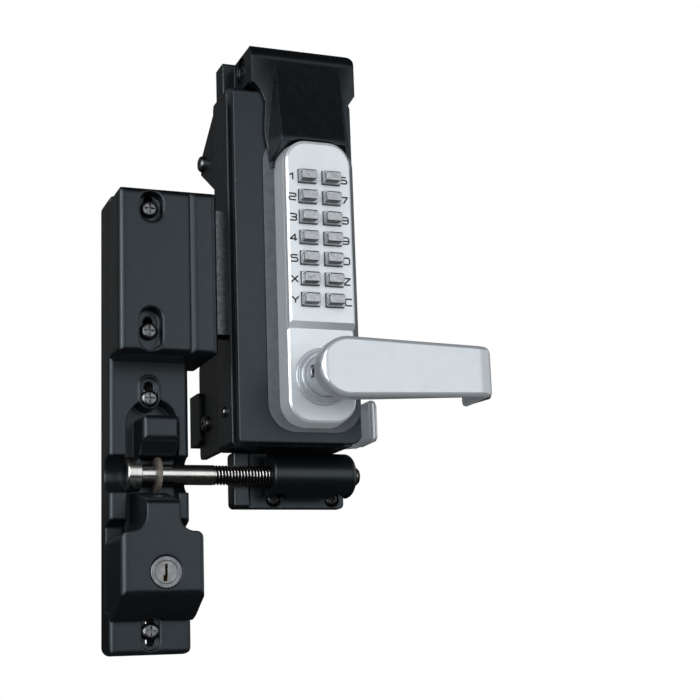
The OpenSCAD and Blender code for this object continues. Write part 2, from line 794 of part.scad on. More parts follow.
// Folded sheet: flat plate behind the case, and two ears that lie on the gate frame's edge
module mounting_plate() {
    color([0.12, 0.12, 0.125]) difference() {
        union() {
            along_y(0, -plate_t) panel(flange_x, case_r, case_z0, case_z1 - 1, 3, 3, 12, 3);
            along_x(flange_x, flange_x + plate_t) {
                panel(-skin, 42, case_z0 + 0.8, low_ear_z1, 0, 4, 14, 0);
                polygon([[-skin, ear_mid_z + 0.6], [30.7, ear_mid_z + 20.6], [30.7, ear_top_z - 22.4],
                         [-skin, ear_top_z - 0.8]]);
            }
        }
        rod_y(0, 0, -plate_t - skin, skin, 24.4);
        for (z = [through_top_z, through_low_z])
            rod_y(0, z, -plate_t - skin, skin, through_d + 0.6);
        for (at = flange_holes)
            rod_x(at[0], at[1], flange_x - skin, flange_x + plate_t + skin, 5.3);
    }
}

module flange_screws() {
    color([0.35, 0.35, 0.36]) for (at = flange_holes)
        translate([flange_x, at[0], at[1]]) rotate([0, 90, 0]) pan_screw(10.4, 3.4, 5, 24, 20);
}

// Hood

hood_l = case_l + 11.5;
hood_r = case_r + 2.6;
hood_z1 = case_z1 + 24.7;
hood_back = -12;
hood_front = cover_front - 2.6;
hood_turn = 9.5;
wing_z = hood_z1 - 38.2;
wing_tip = pad_w / 2 + 5;
visor_z1 = hood_z1 - 11.7;
visor_w = pad_w - 3.4;
lip_z = pad_up + 2.5;
lip_front = high_face + 6;
hood_lip_t = 3.5;
cheek_z = pad_up - 16;
hood_screw_at = [-27.6, hood_z1 - 11.1];

// Cast hood: block over the case with two wings, and a visor that slopes out to a lip over the keypad
module hood() {
    color([0.12, 0.125, 0.13]) difference() {
        union() {
            intersection() {
                along_x(hood_l - skin, hood_r + skin)
                    panel(hood_front, hood_back, cheek_z, hood_z1, 0, 0, 0, hood_turn);
                along_y(hood_back, hood_front) hood_outline();
            }
            visor();
            soft_block(hood_l - 8.3, hood_l + 3, 0, hood_back - 2, case_z1 + 0.4, hood_z1 - 1, 1.5, 1.5, 1.5, 1);
        }
        along_y(cover_front, lip_front - skin)
            panel(-pad_w / 2 - run_gap, pad_w / 2 + run_gap, cheek_z - skin, pad_up + run_gap, 0, 0, 15.3, 15.3);
        along_y(cover_front + slip, gasket_front - run_gap)
            panel(-case_r - run_gap, case_r + run_gap, cheek_z - skin, gasket_top + run_gap, 0, 0, 17, 17);
        along_y(skin, cover_back - skin)
            panel(case_l - skin, case_r + skin, cheek_z - skin, case_z1 + 0.3, 0, 0, 12, 3);
        along_y(cover_back + skin, cover_front)
            panel(case_l - 0.3, case_r + 0.3, cheek_z - skin, cover_z1 + 0.3, 0, 0, 6, 2);
        translate([hood_l, hood_screw_at[0], hood_screw_at[1]]) rotate([0, 90, 0]) {
            translate([0, 0, -skin]) cylinder(d = 17, h = skin + 1.6);
            cylinder(d = 9, h = 3.5);
            cylinder(d = 4, h = 14);
        }
    }
}

// Front outline: full width above, an arch under the left wing, a notch under the right, narrow cheeks
module hood_outline() {
    difference() {
        panel(hood_l, hood_r, wing_z, hood_z1, 0, 0, 7, 3);
        translate([hood_l - 9.3, wing_z - 3]) circle(17.7);
        polygon([[hood_r + skin, wing_z + 10.6], [wing_tip - 1.2, wing_z + 0.4], [wing_tip - 1.2, wing_z - skin],
                 [hood_r + skin, wing_z - skin]]);
    }
    polygon([[-wing_tip, wing_z + skin], [wing_tip - 1.2, wing_z + skin], [wing_tip - 0.4, wing_z - 4],
             [case_r - 1, lip_z + 6], [case_r - 1.6, lip_z], [pad_w / 2 + 2, cheek_z],
             [-pad_w / 2 - 2, cheek_z], [-case_r + 1.6, lip_z], [-case_r + 1, lip_z + 6]]);
}

// Visor: flat sloping panel with flanks that widen downwards, a lip, and gussets under the lip
module visor() {
    foot = wing_tip - 0.8;
    front = visor_w / 2;
    thin = 0.02;
    hull() {
        along_z(visor_z1 - thin, visor_z1) area(-front, front, hood_front, hood_front + 2);
        along_z(lip_z - thin, lip_z) visor_section(front, foot);
    }
    hull() {
        along_z(lip_z - hood_lip_t, lip_z) visor_section(front, foot);
        along_z(cheek_z + 4, cheek_z + 4 + thin) area(-foot + 1, foot - 1, hood_front, hood_front + 2);
    }
}

module visor_section(front, foot) {
    polygon([[-foot, hood_front + 2], [-foot, hood_front], [-front, lip_front], [front, lip_front],
             [foot, hood_front], [foot, hood_front + 2]]);
}

module hood_screw() {
    color([0.35, 0.35, 0.36]) translate([hood_l + 3.5, hood_screw_at[0], hood_screw_at[1]])
        rotate([0, 90, 0]) pan_screw(8.4, 2.6, 3.9, 10, 8);
}

// Keypad

gasket_top = pad_up + 5;

module gasket() {
    color([0.2, 0.21, 0.22]) difference() {
        along_y(cover_front, gasket_front)
            panel(-case_r, case_r, -31, gasket_top, 17, 17, 17, 17);
        rod_y(0, 0, gasket_front - skin, cover_front + skin, shaft_hole_d);
        for (z = [through_top_z, through_low_z])
            rod_y(0, z, gasket_front - skin, cover_front + skin, through_d + 0.6);
    }
}

// A thin slice of the keypad case's outline, used at the two ends of its drafted sides
module pad_slice(y, inset, z1) {
    translate([0, y, 0]) rotate([90, 0, 0]) linear_extrude(0.02)
        round_panel(-pad_w / 2 + inset, pad_w / 2 - inset, -pad_down + inset, z1 - top_slope * inset, 15 - inset);
}

module keypad_case() {
    ledge_z = 30;
    color([0.72, 0.74, 0.76]) difference() {
        union() {
            hull() {
                pad_slice(gasket_front, 0, pad_up, $fn = soft_fn);
                pad_slice(low_face + 1.2, pad_draft * 0.8, pad_up, $fn = soft_fn);
                pad_slice(low_face + 0.02, pad_draft * 0.8 + 1.2, pad_up, $fn = soft_fn);
            }
            intersection() {
                hull() {
                    pad_slice(low_face + 3, pad_draft * 0.75, pad_up, $fn = soft_fn);
                    pad_slice(high_face + 1.2, pad_draft, pad_up, $fn = soft_fn);
                    pad_slice(high_face + 0.02, pad_draft + 1.2, pad_up, $fn = soft_fn);
                }
                along_x(-pad_w, pad_w) polygon([[low_face + 4, ledge_z - 6], [low_face + 2, ledge_z - 3],
                    [high_face, ledge_z + 2.5], [high_face - skin, ledge_z + 2.5],
                    [high_face - skin, pad_up + skin], [low_face + 4, pad_up + skin]]);
            }
        }
        along_y(gasket_front + skin, low_face + pad_wall)
            round_panel(-pad_w / 2 + 4.5, pad_w / 2 - 4.5, -13, pad_up - 17.5, 6);
        along_y(low_face + pad_wall + skin, high_face + pad_wall)
            round_panel(-chamber_w / 2 - 0.6, chamber_w / 2 + 0.6, ledge_z + 5, pad_up - 17.5, 3);
        rod_y(0, 0, low_face - skin, low_face + pad_wall + skin, lever_neck_d - 4);
        for (z = [through_top_z, through_low_z])
            rod_y(0, z, gasket_front - 10, gasket_front + skin, through_d - 0.4);
        for (i = [0 : len(KEYS) - 1])
            along_y(high_face + pad_wall + skin, high_face - skin)
                translate([key_column(i), key_row(i)])
                    square([button_w + 2 + 2 * run_gap, button_h + 2 + 2 * run_gap], center = true);
    }
}

// Combination chamber: a block with one well for each button's stem
module code_chamber() {
    color([0.7, 0.6, 0.35]) difference() {
        along_y(chamber_back, chamber_front)
            round_panel(-chamber_w / 2, chamber_w / 2, key_row(ROWS - 1) - 7.5, top_row + 7, 2);
        for (i = [0 : len(KEYS) - 1])
            rod_y(key_column(i), key_row(i), chamber_front - skin, well_end, stem_d + 2 * run_gap);
    }
}

module button_springs() {
    color([0.8, 0.8, 0.82]) for (i = [0 : len(KEYS) - 1]) difference() {
        rod_y(key_column(i), key_row(i), well_end - 2, well_end, stem_d);
        rod_y(key_column(i), key_row(i), well_end - 2 - skin, well_end + skin, stem_d - 1.6);
    }
}

// Button: drafted cap with a small step at its foot, a flange behind the face and a stem
module button(i) {
    foot = high_face - 0.6 - button_travel;
    tip = high_face - button_out;
    color([0.62, 0.62, 0.6]) translate([key_column(i), 0, key_row(i)]) {
        along_y(high_face + pad_wall, foot)
            round_panel(-button_w / 2 - 1, button_w / 2 + 1, -button_h / 2 - 1, button_h / 2 + 1, 1);
        intersection() {
            along_y(foot + skin, tip)
                round_panel(-button_w / 2, button_w / 2, -button_h / 2, button_h / 2, 1.6);
            along_x(-button_w, button_w)
                panel(tip, foot + 2 * skin, -button_h / 2, button_h / 2, 0.9, 0, 0, 0.9);
        }
        along_y(high_face + pad_wall + lip_t, high_face + pad_wall)
            area(-button_w / 2 - 2, button_w / 2 + 2, -button_h / 2 - 2, button_h / 2 + 2);
        rod_y(0, 0, high_face + pad_wall, stem_end, stem_d);
    }
}

// Levers

module lever_collar() {
    color([0.7, 0.72, 0.74]) translate([0, low_face, 0]) rotate([90, 0, 0]) rotate_extrude()
        collar_profile();
}

module collar_profile() {
    in_r = neck_r + 0.1;
    out_r = collar_d / 2;
    polygon([[in_r, 0], [out_r, 0], [out_r, 1.6], [out_r - 0.6, 2.2], [out_r - 1.4, 2.2], [out_r - 1.8, 1.8],
             [out_r - 2.2, 2.4], [out_r - 2.4, collar_t - 0.8], [out_r - 3.1, collar_t], [in_r, collar_t]]);
}

// Plan of the lever bar: face, round bend and returned tip, with an even taper on the back
module lever_plan() {
    bend = 12;
    tip_x = lever_l - lever_left;
    difference() {
        union() {
            panel(-lever_left, tip_x, -lever_out, lever_back, 5, bend, 0, 3);
            area(tip_x - lever_tip_t, tip_x, -lever_out + bend, -lever_out + lever_return - lever_tip_t / 2);
            translate([tip_x - lever_tip_t / 2, -lever_out + lever_return - lever_tip_t / 2])
                circle(lever_tip_t / 2);
        }
        polygon([[neck_r + 4, lever_back + skin], [neck_r + 4, lever_back],
                 [tip_x - lever_tip_t - 6, -lever_out + lever_tip_t],
                 [tip_x - lever_tip_t, -lever_out + lever_tip_t + 6],
                 [tip_x - lever_tip_t, lever_back + skin]]);
    }
}

// Front outline of the lever: half round at the spindle, tapered to the tip
module lever_outline() {
    tip_x = lever_l - lever_left;
    round_r = lever_h / 2;
    tip_r = lever_tip_h / 2;
    translate([round_r - lever_left, lever_mid]) circle(round_r);
    translate([0, lever_mid])
        polygon([[round_r - lever_left, round_r], [tip_x - 4, tip_r + 0.4], [tip_x - 1.2, tip_r - 0.6],
                 [tip_x, tip_r - 3.6], [tip_x, 3.6 - tip_r], [tip_x - 1.2, 0.6 - tip_r],
                 [tip_x - 4, -tip_r - 0.4], [round_r - lever_left, -round_r]]);
}

module lever_bar() {
    intersection() {
        along_z(-lever_h, lever_h) lever_plan();
        along_y(0, -lever_out - skin) lever_outline();
    }
}

module front_lever() {
    color([0.75, 0.77, 0.79]) difference() {
        union() {
            lever_bar();
            rod_y(0, 0, lever_back - skin, low_face - 0.3, lever_neck_d);
            rod_y(0, 0, low_face - 0.5, spindle_front - 1, drive_shaft_d);
        }
        rotate([0, lever_screw_turn, 0]) rod_z_out(neck_r - 4, neck_r + 2, 4.4, lever_screw_y);
    }
}

lever_screw_turn = -90;
lever_screw_y = low_face - 16;

// A short upright rod on the turned Z axis, used for a lever's set screw
module rod_z_out(from, to, d, y) {
    translate([0, y, from]) cylinder(d = d, h = to - from);
}

module front_lever_screw() {
    color([0.3, 0.3, 0.31]) rotate([0, lever_screw_turn, 0]) difference() {
        rod_z_out(neck_r - 4, neck_r - 0.6, 4.2, lever_screw_y);
        translate([0, lever_screw_y, neck_r - 2]) cylinder(d = 2.4, h = 3, $fn = 6);
    }
}

// Cam that the front lever turns against the combination chamber's clutch
module clutch_cam() {
    color([0.65, 0.65, 0.66]) difference() {
        union() {
            rod_y(0, 0, low_face + pad_wall + 0.6, low_face + pad_wall + 4.6, 22);
            along_y(low_face + pad_wall + 4.6, low_face + pad_wall + 0.6) area(-3, 3, 0, 15);
        }
        rod_y(0, 0, low_face, gasket_front + skin, drive_shaft_d + 2 * slip);
    }
}

spindle_front = -case_out - case_neck + 1.5;
spindle_back = rear_face_y - 10;

module spindle() {
    color([0.6, 0.6, 0.61]) along_y(spindle_back, spindle_front)
        square(spindle_w, center = true);
}

// Hub on the spindle, with an arm whose drive pin stands in the latch bolt's fork
module latch_hub() {
    color([0.62, 0.62, 0.63]) difference() {
        union() {
            rod_y(0, 0, hub_front, hub_back, 24);
            rod_y(0, 0, hub_back - skin, -0.4, 20);
            rotate([0, -lever_turn / 2, 0]) {
                along_y(hub_back - 0.5, hub_front + 0.5) {
                    area(-drive_d, drive_d, spindle_w, drive_r);
                    translate([0, drive_r]) circle(drive_d);
                }
                rod_y(0, drive_r, tail_front + 0.2, hub_front + 1.5, drive_d);
            }
        }
        along_y(skin, hub_front - skin) square(spindle_w + 2 * slip, center = true);
    }
}

// Latch

// Bolt head with a slanted rear edge, a thinner tail inside the case and a fork for the drive pin
module latch_bolt() {
    fork_half = drive_d / 2 + run_gap;
    color([0.78, 0.79, 0.8]) {
        intersection() {
            along_y(bolt_y1, bolt_y0)
                panel(bolt_tip, case_l + 10, bolt_z0, bolt_z1, 3, 0, 0, 3);
            along_z(bolt_z0, bolt_z1) polygon([[bolt_tip, bolt_y0 + 1], [bolt_tip + 1, bolt_y0],
                [case_l + 10, bolt_y0], [case_l + 10, bolt_y1], [bolt_tip + 9, bolt_y1],
                [bolt_tip, bolt_y1 - 8]]);
        }
        along_y(tail_back, tail_front) {
            area(case_l + 10 - skin, tail_r, bolt_z0 + 10, bolt_z1 - 10);
            area(drive_x - fork_half - 4, drive_x - fork_half, spindle_r + 1.5, bolt_z0 + 12);
            area(drive_x + fork_half, tail_r, spindle_r + 1.5, bolt_z0 + 12);
            area(drive_x - fork_half - 4, tail_r, drive_r + drive_d / 2 + 1, bolt_z0 + 12);
        }
    }
}

guide_t = 3;

// Bars above and below the bolt that keep it level in the case
module bolt_guides() {
    color([0.5, 0.5, 0.52]) for (z = [bolt_z0 - run_gap - guide_t, bolt_z1 + run_gap])
        translate([cavity_l, cavity_front, z]) cube([14, bolt_y1 - cavity_front, guide_t]);
}

spring_z = bolt_z1 - 22;
spring_d = 8;
spring_pressed = 9;

// Rod on the case wall with the bolt's spring at its pressed length
module latch_spring() {
    spring_y = (tail_front + tail_back) / 2;
    color([0.8, 0.8, 0.82]) {
        rod_x(spring_y, spring_z, tail_r + bolt_throw + 0.8, cavity_r, 3.4);
        difference() {
            rod_x(spring_y, spring_z, cavity_r - 6, cavity_r, spring_d);
            rod_x(spring_y, spring_z, cavity_r - 6 - skin, cavity_r + skin, 3.4);
        }
    }
}

// Coiled return spring round the hub's boss, shown as a plain ring
module lever_spring() {
    color([0.8, 0.8, 0.82]) difference() {
        rod_y(0, 0, -plate_t - 4.6, -plate_t - 0.2, 27);
        rod_y(0, 0, -plate_t - 5, 0, 20 + 2 * run_gap);
    }
}

// Rear half

rear_w = 58;
rear_up = 140;
rear_down = 34;
tab_x = -49.5;
tab_t = 2.7;

// Black backplate with round ends and two tabs that reach forward over the gate frame's edge
module rear_backplate() {
    color([0.12, 0.12, 0.13]) difference() {
        union() {
            along_y(rear_base_y, rear_y) panel(-rear_w / 2, rear_w / 2, -rear_down, rear_up, 27, 27, 27, 27);
            for (z = [-27, 96]) {
                along_y(rear_y + 4, rear_y) area(tab_x, 0, z, z + 33);
                along_x(tab_x, tab_x + tab_t) panel(33, rear_y + 4, z, z + 33, 3, 0, 0, 3);
            }
        }
        rod_y(0, 0, rear_y - skin, rear_base_y + skin, shaft_hole_d);
        for (z = [through_top_z, through_low_z])
            rod_y(0, z, rear_y - skin, rear_base_y + skin, through_d + 0.6);
    }
}

module rear_slice(y, inset, z1) {
    translate([0, y, 0]) rotate([90, 0, 0]) linear_extrude(0.02)
        round_panel(-21.5 + inset, 21.5 - inset, -27 + inset, z1 - inset, 15 - inset);
}

// Silver plate: thin upper part and a thicker lower part under the lever
module rear_plate() {
    color([0.75, 0.77, 0.79]) difference() {
        union() {
            hull() {
                rear_slice(rear_base_y + 0.02, 0, rear_up - 5, $fn = soft_fn);
                rear_slice(rear_base_y + rear_high_t - 1.2, 1, rear_up - 5, $fn = soft_fn);
                rear_slice(rear_base_y + rear_high_t, 2, rear_up - 5, $fn = soft_fn);
            }
            along_x(-20, 20) polygon([[rear_base_y, 32], [rear_base_y + rear_high_t, 32],
                [rear_base_y + rear_low_t, 26], [rear_base_y + rear_low_t, -16], [rear_base_y, -16]]);
        }
        rod_y(0, 0, rear_base_y - skin, rear_base_y + rear_low_t + skin, shaft_hole_d);
        for (z = [through_top_z, through_low_z])
            rod_y(0, z, rear_base_y - skin, rear_base_y + rear_low_t + skin, through_d + 0.6);
    }
}

rear_collar_y = rear_base_y + rear_low_t;

module rear_collar() {
    color([0.72, 0.74, 0.76]) translate([0, rear_collar_y, 0]) rotate([-90, 0, 0]) rotate_extrude()
        collar_profile();
}

module rear_lever() {
    color([0.75, 0.77, 0.79]) difference() {
        union() {
            translate([0, rear_face_y - lever_out, 0]) mirror([0, 1, 0]) lever_bar();
            rod_y(0, 0, rear_collar_y + 0.3, rear_face_y - lever_t + skin, lever_neck_d);
        }
        along_y(spindle_back + 0.3, rear_y) square(spindle_w + 2 * slip, center = true);
        rotate([0, lever_screw_turn, 0])
            rod_z_out(neck_r - 4, neck_r + 2, 4.4, rear_screw_y);
    }
}

rear_screw_y = rear_collar_y + 14;

module rear_lever_screw() {
    color([0.3, 0.3, 0.31]) rotate([0, lever_screw_turn, 0]) difference() {
        rod_z_out(neck_r - 4, neck_r - 0.6, 4.2, rear_screw_y);
        translate([0, rear_screw_y, neck_r - 2]) cylinder(d = 2.4, h = 3, $fn = 6);
    }
}

// Bolts from the rear plate, through the gate frame, into the keypad case
module through_bolts() {
    color([0.5, 0.5, 0.51]) for (z = [through_top_z, through_low_z]) {
        head_y = rear_base_y + rear_high_t;
        translate([0, head_y, z]) rotate([90, 0, 0])
            pan_screw(8.6, 2.8, through_d - 0.5, head_y - gasket_front + 9, 12);
    }
}

post_base();
post_screws();
strike_box();
strike_screws();
strike_keeper();
keeper_bolts();
key_block();
key_block_screws();
key_cylinder();
key_plug();
key_crank();
deadlock_plunger();
locating_pin();
pin_washer();
barrel_block();
barrel_screws();
gate_case();
case_cover();
mounting_plate();
flange_screws();
case_screw();
hood();
hood_screw();
gasket();
keypad_case();
code_chamber();
button_springs();
for (i = [0 : len(KEYS) - 1])
    button(i);
lever_collar();
front_lever();
front_lever_screw();
clutch_cam();
spindle();
latch_hub();
latch_bolt();
bolt_guides();
latch_spring();
lever_spring();
rear_backplate();
rear_plate();
rear_collar();
rear_lever();
rear_lever_screw();
through_bolts();
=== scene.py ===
# The lock stands closed, as on a gate, and is looked at from the post side and a little from below.
# The camera's place, turn and lens are those of the photograph, worked out from the lock's own edges.
import math

import bmesh
import bpy
from mathutils import Matrix, Vector


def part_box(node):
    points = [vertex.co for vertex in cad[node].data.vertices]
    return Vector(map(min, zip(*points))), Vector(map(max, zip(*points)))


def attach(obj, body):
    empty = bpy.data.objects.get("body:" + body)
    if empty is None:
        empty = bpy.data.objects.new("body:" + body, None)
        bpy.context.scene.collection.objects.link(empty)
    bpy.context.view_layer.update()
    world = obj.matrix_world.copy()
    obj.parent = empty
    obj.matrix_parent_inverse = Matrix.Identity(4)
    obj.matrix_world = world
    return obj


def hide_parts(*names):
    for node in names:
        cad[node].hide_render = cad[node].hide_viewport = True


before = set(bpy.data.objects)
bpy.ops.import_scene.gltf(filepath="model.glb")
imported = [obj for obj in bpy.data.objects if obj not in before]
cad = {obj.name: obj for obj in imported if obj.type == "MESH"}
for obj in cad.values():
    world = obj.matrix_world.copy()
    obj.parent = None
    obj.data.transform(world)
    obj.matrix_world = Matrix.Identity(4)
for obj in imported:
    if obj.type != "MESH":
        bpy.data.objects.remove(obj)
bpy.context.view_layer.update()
mm = 0.001

lens_length, sensor_width = 74.61, 36
nearest_seen, farthest_seen = 0.01, 50
camera_place = (-0.29255, -0.85043, -0.1583)
camera_turn, camera_rise, camera_roll = (math.radians(a) for a in (21.49, 11.69, -2.04))

camera_lens = bpy.data.cameras.new("camera")
camera_lens.sensor_width = sensor_width
camera_lens.lens = lens_length
camera_lens.clip_start = nearest_seen
camera_lens.clip_end = farthest_seen
look = Vector((math.sin(camera_turn) * math.cos(camera_rise), math.cos(camera_turn) * math.cos(camera_rise),
               math.sin(camera_rise)))
level = Vector((math.cos(camera_turn), -math.sin(camera_turn), 0))
upright = level.cross(look)
side = math.cos(camera_roll) * level + math.sin(camera_roll) * upright
top = math.cos(camera_roll) * upright - math.sin(camera_roll) * level
camera = bpy.data.objects.new("camera", camera_lens)
camera.matrix_world = Matrix.Translation(camera_place) @ Matrix((side, top, -look)).transposed().to_4x4()
bpy.context.scene.collection.objects.link(camera)
bpy.context.scene.camera = camera


# Post base: a tall die-cast zinc body with the hook, powder coated black after fettling.
# The coat is satin with a fine orange peel, thinner and a little rubbed along the edges.
mix_first, mix_second, mix_out = 6, 7, 2  # the colour sockets of a Mix node
coat_specular, coat_tint = 0.42, (0.76, 0.9, 1, 1)
rubbed_grey = (0.06, 0.066, 0.074)
rub_begins, rub_full = 0.985, 0.86  # cosine between a flat face and its rounded edge
kept_sharp, same_face = math.radians(13), math.radians(0.6)


def new_finish(name):
    finish = bpy.data.materials.new(name)
    finish.use_nodes = True
    return finish


def shader_of(finish):
    return finish.node_tree.nodes["Principled BSDF"]


def join(finish, start, out, end, into):
    finish.node_tree.links.new(start.outputs[out], end.inputs[into])


def cloud(finish, size, detail=2.0, stretch=(1, 1, 1)):
    """Noise with features of about this size in millimetres, laid in the lock's own frame."""
    nodes = finish.node_tree.nodes
    place = nodes.new("ShaderNodeTexCoord")
    scaled = nodes.new("ShaderNodeMapping")
    scaled.inputs["Scale"].default_value = stretch
    noise = nodes.new("ShaderNodeTexNoise")
    noise.inputs["Scale"].default_value = 1 / (size * mm)
    noise.inputs["Detail"].default_value = detail
    join(finish, place, "Object", scaled, "Vector")
    join(finish, scaled, "Vector", noise, "Vector")
    return noise


def spread(finish, by, low, high, start=0.35, end=0.65, out=0):
    """Turns noise, or another value between start and end, into one that runs from low to high."""
    band = finish.node_tree.nodes.new("ShaderNodeMapRange")
    band.inputs["From Min"].default_value = start
    band.inputs["From Max"].default_value = end
    band.inputs["To Min"].default_value = low
    band.inputs["To Max"].default_value = high
    join(finish, by, out, band, "Value")
    return band


def tones(finish, by, dark, light):
    """Colour between two tones, by a value from 0 to 1."""
    blend = finish.node_tree.nodes.new("ShaderNodeMix")
    blend.data_type = "RGBA"
    blend.inputs[mix_first].default_value = (*dark, 1)
    blend.inputs[mix_second].default_value = (*light, 1)
    join(finish, by, 0, blend, 0)
    return blend


def grain(finish, noise, height, below=None):
    """Surface relief of this height in millimetres, over another relief if one is given."""
    relief = finish.node_tree.nodes.new("ShaderNodeBump")
    relief.inputs["Strength"].default_value = 1
    relief.inputs["Distance"].default_value = height * mm
    join(finish, noise, 0, relief, "Height")
    if below:
        join(finish, below, "Normal", relief, "Normal")
    return relief


def multiply(finish, first, second):
    """The product of a node's value and a number, or another node's value."""
    product = finish.node_tree.nodes.new("ShaderNodeMath")
    product.operation = "MULTIPLY"
    join(finish, first, 0, product, 0)
    if isinstance(second, bpy.types.Node):
        join(finish, second, 0, product, 1)
    else:
        product.inputs[1].default_value = second
    return product


def rounded_normal(finish, radius, samples):
    """The way the surface faces, as if its edges were rounded to this radius in millimetres."""
    rounded = finish.node_tree.nodes.new("ShaderNodeBevel")
    rounded.samples = samples
    rounded.inputs["Radius"].default_value = radius * mm
    return rounded


def rubbed_edges(finish, reach):
    """A value of 1 where an edge has been rubbed, broken up along its length."""
    rounded = rounded_normal(finish, reach, samples=4)
    flat = finish.node_tree.nodes.new("ShaderNodeNewGeometry")
    turn = finish.node_tree.nodes.new("ShaderNodeVectorMath")
    turn.operation = "DOT_PRODUCT"
    join(finish, rounded, "Normal", turn, 0)
    join(finish, flat, "True Normal", turn, 1)
    edge = spread(finish, turn, low=0, high=1, start=rub_begins, end=rub_full, out="Value")
    broken = spread(finish, cloud(finish, size=2.6, detail=4), low=0, high=1, start=0.47, end=0.62)
    return multiply(finish, edge, broken)


def black_coat(name, shade, light_shade, satin, peel, rub, flow):
    """Black powder coat: patchy shade, orange peel, rubbed edges, and a coat that flows round edges."""
    finish = new_finish(name)
    shader = shader_of(finish)
    shader.inputs["Specular IOR Level"].default_value = coat_specular
    shader.inputs["Specular Tint"].default_value = coat_tint
    patches = spread(finish, cloud(finish, size=16, detail=4), low=0, high=1)
    colour = tones(finish, patches, shade, light_shade)
    edges = tones(finish, multiply(finish, rubbed_edges(finish, reach=0.7), rub), shade, rubbed_grey)
    join(finish, colour, mix_out, edges, mix_first)
    join(finish, edges, mix_out, shader, "Base Color")
    gloss = spread(finish, cloud(finish, size=4, detail=3), low=satin - 0.02, high=satin + 0.03)
    join(finish, gloss, "Result", shader, "Roughness")
    rounding = rounded_normal(finish, flow, samples=8)
    fine = grain(finish, cloud(finish, size=0.35, detail=1), peel * 0.25, below=rounding)
    relief = grain(finish, cloud(finish, size=1.3, detail=2), peel, below=fine)
    join(finish, relief, "Normal", shader, "Normal")
    return finish


# All faces are shaded round, and edges that bend by more than kept_sharp stay sharp.
round_shading = bpy.data.node_groups.new("round_shading", "GeometryNodeTree")
round_shading.interface.new_socket("Geometry", in_out="INPUT", socket_type="NodeSocketGeometry")
round_shading.interface.new_socket("Geometry", in_out="OUTPUT", socket_type="NodeSocketGeometry")
shape_in = round_shading.nodes.new("NodeGroupInput")
shape_out = round_shading.nodes.new("NodeGroupOutput")
all_smooth = round_shading.nodes.new("GeometryNodeSetShadeSmooth")
keep_edges = round_shading.nodes.new("GeometryNodeSetShadeSmooth")
keep_edges.domain = "EDGE"
keep_edges.inputs["Shade Smooth"].default_value = False
bend = round_shading.nodes.new("GeometryNodeInputMeshEdgeAngle")
steep = round_shading.nodes.new("FunctionNodeCompare")
steep.operation = "GREATER_THAN"
steep.inputs[1].default_value = kept_sharp
round_shading.links.new(bend.outputs["Unsigned Angle"], steep.inputs[0])
round_shading.links.new(steep.outputs[0], keep_edges.inputs["Selection"])
for start, end in ((shape_in, all_smooth), (all_smooth, keep_edges), (keep_edges, shape_out)):
    round_shading.links.new(start.outputs["Geometry"], end.inputs["Geometry"])


def shade_evenly(piece):
    even = piece.modifiers.new("even_shading", "WEIGHTED_NORMAL")
    even.weight = 80
    return even


def dress(node, finish, edge=0.4, sharp=26, full=False):
    """Gives a solid its finish, and rounds edges that bend by sharp degrees to edge millimetres.

    full keeps the radius beside short edges too.
    """
    piece = cad[node]
    piece.data.materials.clear()
    piece.data.materials.append(finish)
    seams = piece.modifiers.new("joined_seams", "WELD")
    seams.merge_threshold = 0.01 * mm
    faces = piece.modifiers.new("whole_faces", "DECIMATE")
    faces.decimate_type = "DISSOLVE"
    faces.angle_limit = same_face
    piece.modifiers.new("round_shading", "NODES").node_group = round_shading
    if edge:
        soft = piece.modifiers.new("soft_edges", "BEVEL")
        soft.limit_method = "ANGLE"
        soft.angle_limit = math.radians(sharp)
        soft.width = edge * mm
        soft.segments = 4 if full else 3
        soft.use_clamp_overlap = not full
        soft.loop_slide = not full
        soft.miter_outer = "MITER_ARC"
    shade_evenly(piece).keep_sharp = True


casting_coat = black_coat("black_casting_coat", (0.0042, 0.0054, 0.0072), (0.0056, 0.007, 0.0092),
                          satin=0.34, peel=0.006, rub=0.5, flow=2.2)
dress("post_base", casting_coat, edge=1.4, sharp=40)


# Post screws: zinc-plated machine screws with a pan head and a cross recess.
# They go through the base's two slots into the post; their plate is painted dark grey, as painted shade of the slots
# they sit in.
metal_contrast = (0.3, 0.7)


def varied(name, dark, light, tone_noise, rough, rough_noise, metal=0.0, contrast=(0.35, 0.65)):
    """A material whose tone and roughness vary; each noise is a size in millimetres and a detail."""
    finish = new_finish(name)
    shader_of(finish).inputs["Metallic"].default_value = metal
    stains = spread(finish, cloud(finish, *tone_noise), 0, 1, *contrast)
    join(finish, tones(finish, stains, dark, light), mix_out, shader_of(finish), "Base Color")
    satin = spread(finish, cloud(finish, *rough_noise), *rough)
    join(finish, satin, "Result", shader_of(finish), "Roughness")
    return finish


def raise_grain(finish, relief):
    join(finish, relief, "Normal", shader_of(finish), "Normal")


def plated_steel(name, dark, light, gloss):
    """Plated or blackened steel with small stains and a fine relief."""
    finish = varied(name, dark, light, (3, 5), (gloss - 0.07, gloss + 0.1), (1.1, 3), 1, metal_contrast)
    raise_grain(finish, grain(finish, cloud(finish, size=0.4, detail=2), height=0.003))
    return finish


# Painted shade: the plate's dark grey tone stands in for the shade of the slots and recesses the screws sit in.
screw_steel_painted_shade = plated_steel("screw_steel_painted_shade", (0.07, 0.073, 0.078), (0.17, 0.175, 0.183), gloss=0.3)
dress("post_screws", screw_steel_painted_shade, edge=0.2)


# Strike: a cast box and the keeper that takes the latch, both in a deep black coat.
# Two screws in counterbored slots hold the box on the base, and two socket bolts hold the keeper.
strike_coat = black_coat("strike_coat", (0.002, 0.0028, 0.004), (0.003, 0.004, 0.0056),
                         satin=0.3, peel=0.007, rub=0.45, flow=3.0)
bolt_steel = plated_steel("blackened_bolt_steel", (0.035, 0.036, 0.038), (0.08, 0.082, 0.085), gloss=0.4)
dress("strike_box", strike_coat, edge=2.0, sharp=40)
dress("strike_keeper", strike_coat, edge=1.4, sharp=40)
dress("strike_screws", screw_steel_painted_shade, edge=0.2)
dress("keeper_bolts", bolt_steel, edge=0.15)


